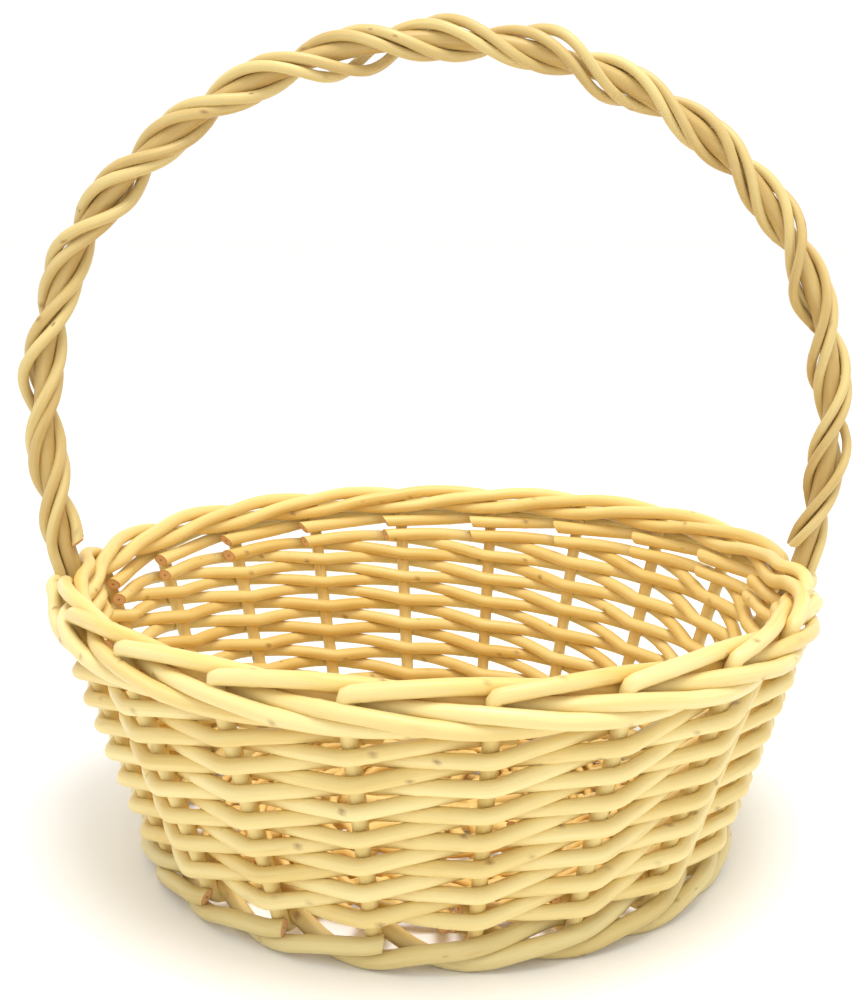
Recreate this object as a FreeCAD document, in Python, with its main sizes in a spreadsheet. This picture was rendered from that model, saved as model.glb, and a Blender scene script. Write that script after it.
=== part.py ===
# Round willow market basket with a fixed, roped hoop handle.
#
# The basket is woven from whole rods, and every rod is a solid of its own:
#   base    ten sticks crossed through each other (a slath) and two base weavers
#   sides   twenty stakes, twenty weavers that climb side by side through seven rows,
#           and a three-rod wale round the foot
#   border  the tops of the stakes, laid down and woven into each other
#   handle  a thick bow pushed down into the side at both ends, and four roping rods
#
# Frame: millimetres, +Z up, origin on the floor under the middle of the basket.
# The handle spans X. Compass angles are measured from -Y (the front) towards +X,
# which is the way that the weaving runs.
import FreeCAD
import Part
import math
import os

Vector = FreeCAD.Vector

doc = FreeCAD.newDocument("market_basket")

# ---------------------------------------------------------------- driving dimensions

SIZES = [
    # alias, value, what it is
    ("base_radius", 117.0, "radius of the ring of stakes, taken down to the floor"),
    ("wall_flare", 18.0, "lean of the side, degrees from upright"),
    ("stake_count", 20, "stakes round the basket"),
    ("first_stake", 7.0, "compass angle of stake 1, degrees"),
    ("stake_diameter", 6.0, "stake"),
    ("stake_tail", 27.0, "length of a stake that lies in the base"),
    ("stake_bend", 6.5, "radius of the bend from the base into the side"),
    ("kink_radius", 6.5, "radius of the bend where a stake is laid down into the border"),
    ("rod_gap", 0.15, "clearance between two rods that pass each other"),
    ("weaver_diameter", 5.7, "side weaver"),
    ("row_count", 7, "rows of weaving on the side"),
    ("row_dip", 1.4, "how far below the middle of its row a weaver passes in front of a stake"),
    ("row_rise", 4.6, "how far above the middle of its row a weaver passes behind a stake"),
    ("wale_diameter", 6.4, "rod of the foot wale"),
    ("stick_diameter", 6.0, "base stick"),
    ("stick_pitch", 8.0, "spacing of the base sticks where they cross"),
    ("stick_end_gap", 15.4, "distance of a base stick's end from the ring of stakes"),
    ("slath_core", 2.6, "thickness of a through stick where it passes the slit sticks"),
    ("slath_gap", 0.1, "clearance above and below a through stick in its slit"),
    ("base_weaver_diameter", 3.6, "rod of the base weaving"),
    ("base_weave_start", 41.0, "distance of the first base round from the middle"),
    ("base_weave_margin", 3.0, "length of a base stick left bare beyond the weaving"),
    ("base_turn", 2.0, "turn of the crossed sticks from the handle's line, degrees"),
    ("floor_gap", 0.6, "clearance between the base weaving and the floor"),
    ("bow_diameter", 7.6, "handle bow"),
    ("bow_tip_diameter", 4.5, "end of the bow, where it is cut to a long point"),
    ("rope_diameter", 4.5, "roping rod of the handle"),
    ("rope_crossings", 16, "pairs of roping rods that cross the outside of the handle"),
    ("handle_bulge", 8.7, "how far the handle stands out beyond the border"),
    ("handle_leg", 10.7, "height above the top row where the handle starts to curve"),
    ("handle_rise", 151.0, "height of the arch above the handle's widest place"),
    ("handle_flatness", 11.0, "radius by which the sides of the arch differ from its rise"),
]

sheet = doc.addObject("Spreadsheet::Sheet", "sizes")
for row, (alias, value, note) in enumerate(SIZES, start=1):
    sheet.set("A%d" % row, alias)
    sheet.set("B%d" % row, str(value))
    sheet.set("C%d" % row, note)
    sheet.setAlias("B%d" % row, alias)
doc.recompute()


def size(alias):
    """The value of one cell of the sheet, as a plain number."""
    return float(sheet.get(alias))


def bound(name, prop, expression):
    """Ties one property of a document object to the sheet."""
    doc.getObject(name).setExpression(prop, expression)


# ------------------------------------------------------------------ derived places

STAKES = int(size("stake_count"))
ROWS = int(size("row_count"))
STEP = 360.0 / STAKES
GAP = size("rod_gap")
FLARE = math.radians(size("wall_flare"))
STAKE = size("stake_diameter")
WEAVER = size("weaver_diameter")
WALE = size("wale_diameter")
STICK = size("stick_diameter")
BASE_WEAVER = size("base_weaver_diameter")
BOW = size("bow_diameter")
BOW_TIP = size("bow_tip_diameter")
ROPE = size("rope_diameter")

# The bow comes down beside the stake next to the X axis, on both sides.
BOW_ANGLES = (90.0, 270.0)
BOW_STAKES = tuple(
    math.ceil((angle - size("first_stake")) / STEP) % STAKES for angle in BOW_ANGLES
)

# Base: the weaving lies over and under the sticks and the stakes' tails, clear of
# the floor.
BASE_WAVE = (max(STICK, STAKE) + BASE_WEAVER) / 2 + 2 * GAP
BASE_LEVEL = size("floor_gap") + BASE_WAVE + BASE_WEAVER / 2

# Foot wale: two rods outside each stake, one inside that rests on the stake's tail.
WALE_LOW = WALE / 2 + GAP
WALE_HIGH = WALE_LOW + WALE + 5 * GAP
WALE_INSIDE = BASE_LEVEL + (STAKE + WALE) / 2 + 4 * GAP
WALE_CROSS_LOW = WALE_LOW
WALE_MIDDLE = WALE_LOW + 0.84 * WALE
WALE_CROSS_HIGH = WALE_MIDDLE + 0.84 * WALE

# Rows: a row is two rods high, because in every gap one weaver comes out and the next
# one goes in on top of it.
ROW_LIFT = WEAVER / 2 + GAP
ROW_PITCH = 4 * ROW_LIFT
FIRST_ROW = WALE_CROSS_HIGH + WALE / 2 + ROW_LIFT + WEAVER / 2 + 2 * GAP
LAST_ROW = FIRST_ROW + (ROWS - 1) * ROW_PITCH

# Border: levels of one stake thickness each, counted up from the top row.
LEVEL = STAKE + 1.7 * GAP
BORDER_BASE = LAST_ROW + ROW_LIFT + WEAVER / 2 + 0.15 * STAKE
KINK_LEVEL = BORDER_BASE + 3.1 * LEVEL

BOW_TIP_HEIGHT = WALE_INSIDE + WALE / 2 + 2.0


def wall(z):
    """Radius of the ring of stakes at a height."""
    return size("base_radius") + z * math.tan(FLARE)


def place(angle, radius, z):
    """A point from its compass angle in degrees, its radius and its height."""
    turn = math.radians(angle)
    return Vector(radius * math.sin(turn), -radius * math.cos(turn), z)


def stake_angle(number):
    return size("first_stake") + number * STEP


def bow_diameter(z):
    """Diameter of the bow at a height: it tapers from the border down to its tip."""
    part = (z - BOW_TIP_HEIGHT) / (BORDER_BASE - BOW_TIP_HEIGHT)
    part = min(max(part, 0.0), 1.0)
    return BOW_TIP + (BOW - BOW_TIP) * part


def beside(first, second):
    """Radial distance between a leaning rod and a level rod that touches it."""
    return ((first + second) / 2 + GAP) / math.cos(FLARE)


# ------------------------------------------------------------------------ rod paths

RUN_SHARE = 0.45


def turn_at(points, index):
    """Half the turn at a corner, and the shorter of the two runs that meet there."""
    back = points[index] - points[index - 1]
    ahead = points[index + 1] - points[index]
    return back.getAngle(ahead) / 2, min(back.Length, ahead.Length)


def corner_radius(points, index, limit):
    half, run = turn_at(points, index)
    radius = RUN_SHARE * run / math.tan(half)
    if limit:
        radius = min(radius, limit)
    return radius, half


def pass_through(points, limits):
    """Moves each free corner out, so that its arc passes through the wanted point."""
    wanted = list(points)
    corners = list(points)
    for _ in range(6):
        moved = list(corners)
        for index in range(1, len(points) - 1):
            if limits[index]:
                continue
            half, _run = turn_at(corners, index)
            if half < 1e-4:
                continue
            radius, half = corner_radius(corners, index, None)
            inward = (corners[index - 1] - corners[index]).normalize()
            inward += (corners[index + 1] - corners[index]).normalize()
            sag = radius * (1 / math.cos(half) - 1)
            moved[index] = wanted[index] - inward.normalize() * sag
        corners = moved
    return corners


def rod_wire(points, limits):
    """Straight runs joined by tangent arcs. A limit is the arc's largest radius at
    a corner, which then keeps its place; None lets the arc pass through the point."""
    corners = pass_through(points, limits)
    edges = []
    start = corners[0]
    for index in range(1, len(corners) - 1):
        radius, half = corner_radius(corners, index, limits[index])
        corner = corners[index]
        back = (corners[index - 1] - corner).normalize()
        ahead = (corners[index + 1] - corner).normalize()
        tangent = radius * math.tan(half)
        enter = corner + back * tangent
        leave = corner + ahead * tangent
        sag = radius * (1 / math.cos(half) - 1)
        middle = corner + (back + ahead).normalize() * sag
        edges.append(Part.LineSegment(start, enter).toShape())
        edges.append(Part.Arc(enter, middle, leave).toShape())
        start = leave
    edges.append(Part.LineSegment(start, corners[-1]).toShape())
    return Part.Wire(edges)


def add_rod(name, route, diameter_alias):
    """One rod: a path, a round section bound to the sheet, and the sweep of both."""
    points = [point for point, _limit in route]
    limits = [limit for _point, limit in route]
    wire = rod_wire(points, limits)
    path = doc.addObject("Part::Feature", name + "_path")
    path.Shape = wire
    section = doc.addObject("Part::Circle", name + "_section")
    section.setExpression("Radius", "sizes.%s / 2" % diameter_alias)
    first = wire.Edges[0]
    ahead = first.tangentAt(first.FirstParameter)
    section.Placement = FreeCAD.Placement(
        first.valueAt(first.FirstParameter),
        FreeCAD.Rotation(Vector(0, 0, 1), ahead),
    )
    rod = doc.addObject("Part::Sweep", name)
    rod.Sections = [section]
    rod.Spine = (path, ["Edge%d" % (n + 1) for n in range(len(wire.Edges))])
    rod.Solid = True
    rod.Frenet = False
    rod.Label = name
    return rod


SUB_PARTS = []


def keep(item):
    SUB_PARTS.append(item)
    return item


# ----------------------------------------------------------------------------- base

STICK_SPREAD = 2          # sticks each side of the middle one, so five each way
STICK_REACH = wall(BASE_LEVEL) - size("stick_end_gap")
BASE_WEAVE_END = STICK_REACH - size("base_weave_margin")
TAIL_START = wall(BASE_LEVEL) - size("stake_tail")
TAIL_TURN = size("first_stake") - size("base_turn")


def stick_route(order):
    """A base stick lies straight through the middle, then fans out to its end."""
    reach = STICK_REACH
    fan = math.radians(order * STEP)
    if order == 0:
        return [(Vector(-reach, 0, 0), None), (Vector(reach, 0, 0), None)]
    side = order * size("stick_pitch")
    knee = side / math.tan(fan)
    end = Vector(reach * math.cos(fan), reach * math.sin(fan), 0)
    return [
        (Vector(-end.x, end.y, 0), None),
        (Vector(-knee, side, 0), 2 * STICK),
        (Vector(knee, side, 0), 2 * STICK),
        (end, None),
    ]


def slath_box(name, height_expression, low, span):
    """A block across the middle of the base, as wide as the five sticks."""
    block = doc.addObject("Part::Box", name)
    block.Length = span
    block.Width = span
    block.setExpression("Height", height_expression)
    block.Placement = FreeCAD.Placement(Vector(-span / 2, -span / 2, low), FreeCAD.Rotation())
    return block


def add_sticks():
    """Five slit sticks, and five through sticks pared thin where they pass them."""
    pitch = size("stick_pitch")
    core = size("slath_core")
    span = 2 * STICK_SPREAD * pitch + STICK + 1.0
    level = Vector(0, 0, BASE_LEVEL)
    for order in range(-STICK_SPREAD, STICK_SPREAD + 1):
        number = order + STICK_SPREAD + 1
        name = "through_stick_%d" % number
        rod = add_rod(name + "_round", stick_route(order), "stick_diameter")
        above = slath_box(name + "_above", "sizes.stick_diameter", core / 2, span)
        below = slath_box(name + "_below", "sizes.stick_diameter", -core / 2 - STICK, span)
        half = doc.addObject("Part::Cut", name + "_half")
        half.Base, half.Tool = rod, above
        pared = doc.addObject("Part::Cut", name)
        pared.Base, pared.Tool = half, below
        pared.Placement = FreeCAD.Placement(
            level, FreeCAD.Rotation(Vector(0, 0, 1), size("base_turn"))
        )
        pared.Label = name
        keep(pared)
    for order in range(-STICK_SPREAD, STICK_SPREAD + 1):
        number = order + STICK_SPREAD + 1
        name = "slit_stick_%d" % number
        rod = add_rod(name + "_round", stick_route(order), "stick_diameter")
        slit_low = -core / 2 - size("slath_gap")
        slit = slath_box(name + "_slit", "sizes.slath_core + 2 * sizes.slath_gap", slit_low, span)
        split = doc.addObject("Part::Cut", name)
        split.Base, split.Tool = rod, slit
        split.Placement = FreeCAD.Placement(
            level, FreeCAD.Rotation(Vector(0, 0, 1), size("base_turn") + 90)
        )
        split.Label = name
        keep(split)


def base_point(turn, radius, z):
    """A point of the base weaving, turned with the crossed sticks."""
    return place(turn + 90 + size("base_turn"), radius, BASE_LEVEL + z)


WRAP_TURN = 4.0           # an outer stick of an arm is wrapped this many degrees past it
WRAP_SHARE = 0.82         # where the weaver is already this share of its height


def base_weaver_route(side):
    """Pairing that spirals out: twice round the four arms, then round every stick."""
    lift = BASE_WEAVER / 2 + GAP
    pitch = 4 * lift
    start = size("base_weave_start")
    arm = STICK_SPREAD * STEP
    first = -arm

    def radius(turn):
        return start + pitch * (turn - first) / 360

    route = []
    for count in range(8):
        middle = 90 * count
        for order in range(-STICK_SPREAD, STICK_SPREAD + 1):
            turn = middle + order * STEP
            route.append((base_point(turn, radius(turn), side * BASE_WAVE), None))
            if abs(order) == STICK_SPREAD:
                turn += math.copysign(WRAP_TURN, order)
                wrapped = (base_point(turn, radius(turn), side * WRAP_SHARE * BASE_WAVE), None)
                route.insert(len(route) - (order < 0), wrapped)
        turn = middle + 45
        route.append((base_point(turn, radius(turn) + side * lift, 0), None))
        side = -side
    turn = 8 * 90 - arm
    while radius(turn) < BASE_WEAVE_END:
        route.append((base_point(turn, radius(turn), side * BASE_WAVE), None))
        crossing = turn + STEP / 2
        if radius(turn) > TAIL_START - 2 * BASE_WEAVER:
            tail = turn + TAIL_TURN
            route.append((base_point(tail, radius(tail), side * BASE_WAVE), None))
            crossing = (tail + turn + STEP) / 2
        route.append((base_point(crossing, radius(crossing) + side * lift, 0), None))
        side = -side
        turn += STEP
    route.pop()
    return route


def add_base_weavers():
    for number, side in ((1, 1), (2, -1)):
        keep(add_rod("base_weaver_%d" % number, base_weaver_route(side), "base_weaver_diameter"))


# --------------------------------------------------------------------------- stakes

BOW_EASE = 0.5            # more room beside the bow, where rods pass it at a slant
BOW_ROOM = (BOW / 2 + ROPE + STAKE / 2 + 3 * GAP) / math.cos(FLARE) + BOW_EASE

# Where a stake's top runs in the border, by stakes passed: side (-1 inside, +1
# outside, 0 between the stakes) and level. It goes behind two, in front of two, and in.
BORDER_STATIONS = ((-1, 2.65), (-1, 1.5), (1, 1.65), (1, 0.5), (-1, 0.5))
BORDER_CROSSINGS = ((0, 3.05), (-1.05, 2.25), (0, 1.6), (1, 0.95), (0, 0.4))
BOW_LEVEL_LIFTS = (0.12, 0.12, 0.32, 0.0, 0.05)
BORDER_END = 0.2


def crossing_angle(number):
    """Half-way from the stake before to this stake, or to the bow beside it."""
    here = stake_angle(number)
    if number % STAKES in BOW_STAKES:
        here = bow_angle(number)
    return (stake_angle(number - 1) + here) / 2


def bow_angle(number):
    """The bow's compass angle, counted on past a full turn like the stakes'."""
    bow = BOW_ANGLES[BOW_STAKES.index(number % STAKES)]
    return stake_angle(number) - (stake_angle(number) - bow) % 360


def border_point(angle, side, level, room):
    z = BORDER_BASE + level * LEVEL
    return place(angle, wall(z) + side * room, z)


def stake_route(number):
    angle = stake_angle(number)
    room = beside(STAKE, STAKE)
    route = [
        (place(angle, TAIL_START, BASE_LEVEL), None),
        (place(angle, wall(BASE_LEVEL), BASE_LEVEL), size("stake_bend")),
        (place(angle, wall(KINK_LEVEL), KINK_LEVEL), size("kink_radius")),
    ]
    for passed in range(5):
        ahead = number + passed + 1
        side, level = BORDER_CROSSINGS[passed]
        route.append((border_point(crossing_angle(ahead), side, level, room), None))
        side, level = BORDER_STATIONS[passed]
        if ahead % STAKES in BOW_STAKES:
            bow_room = BOW_ROOM if side > 0 else beside(BOW, STAKE) + BOW_EASE
            bow_level = level + BOW_LEVEL_LIFTS[passed]
            point = border_point(bow_angle(ahead), side, bow_level, bow_room)
            route.append((point, None))
        route.append((border_point(stake_angle(ahead), side, level, room), None))
    end = stake_angle(number + 5) + BORDER_END * STEP
    route.append((border_point(end, side, level, room), None))
    return route


def add_stakes():
    for number in range(STAKES):
        keep(add_rod("stake_%02d" % (number + 1), stake_route(number), "stake_diameter"))


# -------------------------------------------------------------------- side weaving

BUTT_BACK = 0.15          # a weaver starts this share of a step before a stake
BUTT_LIFT = 1.2           # and lies this much above its first gap, clear of the wale
TIP_PAST = 0.2            # and ends this share of a step past one


def weaver_station(number, side, z):
    """Where a weaver passes a stake, and the bow if it stands beside that stake."""
    places = [place(stake_angle(number), wall(z) + side * beside(STAKE, WEAVER), z)]
    if number % STAKES in BOW_STAKES:
        radius = wall(z) + side * beside(bow_diameter(z), WEAVER)
        places.insert(0, place(bow_angle(number), radius, z))
    return places


def weaver_route(first):
    """A side weaver. Its butt rests inside the stake before its first one. It passes in
    front of one stake and behind the next, and climbs one row with every two stakes."""
    inside = -beside(STAKE, WEAVER)
    z = FIRST_ROW - ROW_LIFT + BUTT_LIFT
    butt = stake_angle(first - 1)
    route = [
        place(butt - BUTT_BACK * STEP, wall(z) + inside, z),
        place(butt, wall(z) + inside, z),
    ]
    for row in range(ROWS):
        height = FIRST_ROW + row * ROW_PITCH
        front = first + 2 * row
        z = height - ROW_LIFT
        route.append(place(crossing_angle(front), wall(z), z))
        route += weaver_station(front, 1, height - size("row_dip"))
        z = height + ROW_LIFT
        route.append(place(crossing_angle(front + 1), wall(z), z))
        if row < ROWS - 1:
            z = height + size("row_rise")
        route += weaver_station(front + 1, -1, z)
    tip = stake_angle(front + 1) + TIP_PAST * STEP
    route.append(place(tip, wall(z) + inside, z))
    return [(point, None) for point in route]


def add_weavers():
    for number in range(STAKES):
        keep(add_rod("weaver_%02d" % (number + 1), weaver_route(number), "weaver_diameter"))


# ------------------------------------------------------------------------ foot wale

WALE_FIRST_STAKE = 18     # the wale's first rod starts behind this stake
WALE_PAST = 0.12          # a wale rod ends this share of a step past its last stake
WALE_SPANS = (
    (0, STAKES + WALE_PAST),
    (1, STAKES + 1 + WALE_PAST),
    (2, STAKES - 1 + WALE_PAST),
)
WALE_START_BACK = 0.22


def wale_place(step, first):
    """A wale rod's place: behind one stake, in front of two, over its neighbours."""
    whole = math.floor(step + 1e-6)
    part = step - whole
    phase = (whole - first) % 3
    angle = stake_angle(WALE_FIRST_STAKE + step)
    out = beside(STAKE, WALE) + GAP
    if part < 1e-6:
        side, z = ((-1, WALE_INSIDE), (1, WALE_LOW), (1, WALE_HIGH))[phase]
    else:
        side, z = ((0, WALE_CROSS_LOW), (1, WALE_MIDDLE), (0, WALE_CROSS_HIGH))[phase]
    return place(angle, wall(z) + side * out, z)


def add_wale():
    for number, (first, last) in enumerate(WALE_SPANS, start=1):
        begin = stake_angle(WALE_FIRST_STAKE + first - WALE_START_BACK)
        out = beside(STAKE, WALE)
        route = [(place(begin, wall(WALE_INSIDE) - out, WALE_INSIDE), None)]
        step = float(first)
        while step < last - 0.5:
            route.append((wale_place(step, first), None))
            step += 0.5
        before, after = wale_place(step, first), wale_place(step + 0.5, first)
        route.append((before, None))
        route.append((before + (after - before) * ((last - step) / 0.5), None))
        keep(add_rod("foot_wale_rod_%d" % number, route, "wale_diameter"))


# --------------------------------------------------------------------------- handle

def bow_arcs():
    """The bow's centre line in the XZ plane, from the left leg to the right one, as
    (centre, radius, first and last angle from +X, side), with the legs straight."""
    rim = wall(KINK_LEVEL)
    half = rim + size("handle_bulge")
    leg = BORDER_BASE + size("handle_leg")
    hip = (half - wall(leg)) / (1 - math.cos(FLARE))
    shoulder = leg + hip * math.sin(FLARE)
    rise = size("handle_rise")
    flat = math.copysign(size("handle_flatness"), half - rise)
    side = rise - flat
    inset = half - side
    drop = (inset * inset - flat * flat) / (2 * flat)
    crown = rise + drop
    spread = math.atan2(abs(inset), abs(drop))
    lean = FLARE
    quarter = math.pi / 2
    right = [
        (Vector(0, 0, shoulder - drop), crown, quarter, quarter - spread),
        (Vector(inset, 0, shoulder), side, quarter - spread, 0.0),
        (Vector(half - hip, 0, shoulder), hip, 0.0, -lean),
    ]
    left = []
    for centre, radius, first, last in reversed(right):
        left.append((Vector(-centre.x, 0, centre.z), radius, math.pi - last, math.pi - first))
    return left + right


ARCS = bow_arcs()


def on_arc(arc, angle):
    centre, radius = arc[0], arc[1]
    outward = Vector(math.cos(angle), 0, math.sin(angle))
    return centre + outward * radius, outward


def bow_wire():
    """Straight leg, six arcs, straight leg."""
    foot = Vector(-wall(BORDER_BASE), 0, BORDER_BASE)
    start, _out = on_arc(ARCS[0], ARCS[0][2])
    end, _out = on_arc(ARCS[-1], ARCS[-1][3])
    edges = [Part.LineSegment(foot, start).toShape()]
    for arc in ARCS:
        first, _out = on_arc(arc, arc[2])
        middle, _out = on_arc(arc, (arc[2] + arc[3]) / 2)
        last, _out = on_arc(arc, arc[3])
        edges.append(Part.Arc(first, middle, last).toShape())
    edges.append(Part.LineSegment(end, Vector(-foot.x, 0, foot.z)).toShape())
    return Part.Wire(edges)


def along_bow(distance):
    """Point and outward direction at a distance along the six arcs."""
    for arc in ARCS:
        length = arc[1] * abs(arc[3] - arc[2])
        if distance <= length or arc is ARCS[-1]:
            return on_arc(arc, arc[2] + (arc[3] - arc[2]) * distance / length)
        distance -= length


BOW_LENGTH = sum(arc[1] * abs(arc[3] - arc[2]) for arc in ARCS)


def add_bow():
    """The arch, with a long tapered point on each leg, joined into one rod."""
    path = doc.addObject("Part::Feature", "bow_path")
    path.Shape = bow_wire()
    first = path.Shape.Edges[0]
    section = doc.addObject("Part::Circle", "bow_section")
    section.setExpression("Radius", "sizes.bow_diameter / 2")
    section.Placement = FreeCAD.Placement(
        first.valueAt(first.FirstParameter),
        FreeCAD.Rotation(Vector(0, 0, 1), first.tangentAt(first.FirstParameter)),
    )
    arch = doc.addObject("Part::Sweep", "bow_arch")
    arch.Sections = [section]
    arch.Spine = (path, ["Edge%d" % (n + 1) for n in range(len(path.Shape.Edges))])
    arch.Solid = True
    pieces = [arch]
    length = (BORDER_BASE - BOW_TIP_HEIGHT) / math.cos(FLARE)
    for name, sign in (("bow_left_point", -1), ("bow_right_point", 1)):
        point = doc.addObject("Part::Cone", name)
        point.setExpression("Radius1", "sizes.bow_tip_diameter / 2")
        point.setExpression("Radius2", "sizes.bow_diameter / 2")
        point.Height = length
        lean = Vector(sign * math.sin(FLARE), 0, math.cos(FLARE))
        foot = Vector(sign * wall(BOW_TIP_HEIGHT), 0, BOW_TIP_HEIGHT)
        point.Placement = FreeCAD.Placement(foot, FreeCAD.Rotation(Vector(0, 0, 1), lean))
        pieces.append(point)
    bow = doc.addObject("Part::MultiFuse", "handle_bow")
    bow.Shapes = pieces
    bow.Refine = False
    bow.Label = "handle_bow"
    keep(bow)


ROPE_PAIRS = 2
ROPE_TURNS = size("rope_crossings") / ROPE_PAIRS
ROPE_CIRCLE = (BOW + ROPE) / 2 + GAP
CORNERS_PER_TURN = 12
ROPE_END_GAP = 4.0        # the short rods end this far above the border


def rope_split():
    """Half the turn between the two rods of a pair that lie side by side."""
    slant = math.atan(2 * math.pi * ROPE_CIRCLE * ROPE_TURNS / BOW_LENGTH)
    return math.asin((ROPE + 2 * GAP) / (2 * ROPE_CIRCLE * math.cos(slant)))


def rope_route(pair, split):
    """A roping rod winds along the bow. A pair that ends on the outside runs down
    into the border there, and the others are cut off just above it."""
    start = 2 * math.pi * pair / ROPE_PAIRS + split
    border_top = KINK_LEVEL + STAKE / 2 + ROPE_END_GAP
    hip = ARCS[0]
    margin = hip[1] * (FLARE - math.asin((hip[0].z - border_top) / hip[1]))
    corners = int(round(ROPE_TURNS * CORNERS_PER_TURN))
    route = []
    for corner in range(corners + 1):
        share = corner / corners
        centre, outward = along_bow(margin + (BOW_LENGTH - 2 * margin) * share)
        turn = start + 2 * math.pi * ROPE_TURNS * share
        aside = outward * math.cos(turn) - Vector(0, 1, 0) * math.sin(turn)
        route.append((centre + aside * ROPE_CIRCLE, None))
    foot_z = BORDER_BASE + 2 * GAP
    foot = Vector(wall(foot_z), 0, foot_z)
    foot += Vector(math.cos(FLARE), 0, -math.sin(FLARE)) * ROPE_CIRCLE * math.cos(split)
    foot += Vector(0, -ROPE_CIRCLE * math.sin(split), 0)
    if pair == 0:
        route.insert(0, (Vector(-foot.x, foot.y, foot.z), None))
    if (pair + int(size("rope_crossings"))) % ROPE_PAIRS == 0:
        route.append((foot, None))
    return route


def add_ropes():
    number = 0
    for pair in range(ROPE_PAIRS):
        for split in (-rope_split(), rope_split()):
            number += 1
            keep(add_rod("handle_rope_%d" % number, rope_route(pair, split), "rope_diameter"))


# ------------------------------------------------------------------ build and write

add_sticks()
add_base_weavers()
add_stakes()
add_weavers()
add_wale()
add_bow()
add_ropes()
doc.recompute()

for item in doc.Objects:
    if "Invalid" in item.State or "Error" in item.State:
        raise RuntimeError("%s did not build: %s" % (item.Name, item.State))

os.makedirs("parts", exist_ok=True)
for item in SUB_PARTS:
    shape = item.Shape
    if shape.isNull() or not shape.isValid() or len(shape.Solids) != 1:
        raise RuntimeError("%s is not one valid solid" % item.Label)
for item in SUB_PARTS:
    item.Shape.exportStep("parts/%s.step" % item.Label)
print("%d sub-parts written" % len(SUB_PARTS))
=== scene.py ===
import bpy
import math
import random
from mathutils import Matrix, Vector, noise


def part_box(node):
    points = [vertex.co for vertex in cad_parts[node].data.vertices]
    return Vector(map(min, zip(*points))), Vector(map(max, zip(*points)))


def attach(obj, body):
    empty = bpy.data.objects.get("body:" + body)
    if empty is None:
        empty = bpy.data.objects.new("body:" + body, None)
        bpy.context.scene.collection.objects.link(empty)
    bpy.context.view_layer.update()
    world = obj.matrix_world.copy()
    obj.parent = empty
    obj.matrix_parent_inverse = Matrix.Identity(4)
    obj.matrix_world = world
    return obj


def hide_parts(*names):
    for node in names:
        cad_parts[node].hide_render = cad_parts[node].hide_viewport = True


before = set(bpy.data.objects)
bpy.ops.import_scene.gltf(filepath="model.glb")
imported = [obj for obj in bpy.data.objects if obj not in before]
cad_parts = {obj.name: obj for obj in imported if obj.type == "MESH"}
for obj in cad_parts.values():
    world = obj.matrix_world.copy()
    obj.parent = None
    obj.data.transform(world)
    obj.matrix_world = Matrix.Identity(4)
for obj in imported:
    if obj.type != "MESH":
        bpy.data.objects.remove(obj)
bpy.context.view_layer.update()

MM = 0.001

# ------------------------------------------------------------ the basket maker's sizes

STAKES = 20
STEP = 360.0 / STAKES     # from one stake to the next
FIRST_STAKE = 7.0         # compass angle of stake 1
RING = 117.0              # radius of the ring of stakes, taken down to the floor
FLARE = math.radians(18.0)

# thicknesses of the rods
STAKE = 6.0
WEAVER = 5.7
WALE = 6.4
STICK = 6.0
BASE_WEAVER = 3.6
BOW = 7.6
ROPE = 4.5
GAP = 0.15                # clearance between the CAD rods

STAKE_TAIL = 27.0         # a stake's end reaches this far in over the base
STAKE_BEND = 6.5          # radius of its bend from the base up into the side
KINK_BEND = 5.0           # and of its bend from the side down into the border
WIDE_BEND = 200.0         # a rod that isn't forced bends as gently as it can

BOW_ANGLES = (90.0, 270.0)
BOW_STAKES = tuple(math.ceil((angle - FIRST_STAKE) / STEP) % STAKES for angle in BOW_ANGLES)


def low(node):
    """Lowest corner of a CAD node, in millimetres."""
    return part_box(node)[0] / MM


def high(node):
    """Highest corner of a CAD node, in millimetres."""
    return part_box(node)[1] / MM


BASE_LEVEL = (low("slit_stick_3").z + high("slit_stick_3").z) / 2
ROW_LIFT = WEAVER / 2 + GAP
ROW_PITCH = 4 * ROW_LIFT  # a row is two weavers high
FIRST_ROW = low("weaver_01").z + WEAVER / 2 + ROW_LIFT
LAST_ROW = high("weaver_01").z - WEAVER / 2 - ROW_LIFT
ROWS = round((LAST_ROW - FIRST_ROW) / ROW_PITCH) + 1
LEVEL = STAKE + 1.7 * GAP  # height of one layer of the border
BORDER_BASE = LAST_ROW + ROW_LIFT + WEAVER / 2 + 0.15 * STAKE
KINK_LEVEL = BORDER_BASE + 3.1 * LEVEL
KINK_SINK = 4.5           # the top bends sink this far into the border

# ------------------------------------------------------------------- places and paths


def wall(z):
    """Radius of the ring of stakes at a height."""
    return RING + z * math.tan(FLARE)


def place(angle, radius, z):
    """A point at a compass angle, a radius and a height."""
    turn = math.radians(angle)
    return Vector((radius * math.sin(turn), -radius * math.cos(turn), z))


def stake_angle(number):
    return FIRST_STAKE + number * STEP


def bow_angle(number):
    """The bow's compass angle, counted on past a full turn like the stakes'."""
    bow = BOW_ANGLES[BOW_STAKES.index(number % STAKES)]
    return stake_angle(number) - (stake_angle(number) - bow) % 360


def crossing_angle(number):
    """Half-way from the stake before to this stake, or to the bow beside it."""
    here = stake_angle(number)
    if number % STAKES in BOW_STAKES:
        here = bow_angle(number)
    return (stake_angle(number - 1) + here) / 2


def beside(first, second):
    """Radial distance between a leaning rod and a level rod that touches it."""
    return ((first + second) / 2 + GAP) / math.cos(FLARE)


# The whole basket is a little uneven, so the same slow waves push every path about. They
# don't lift it off the floor: their height grows from nothing there.
UNEVEN = 1.1
UNEVEN_LENGTH = 75.0
UNEVEN_SHIFTS = (Vector((0, 0, 0)), Vector((31.4, 0, 0)), Vector((0, 47.2, 0)))
UNEVEN_FROM = 30.0


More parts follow.
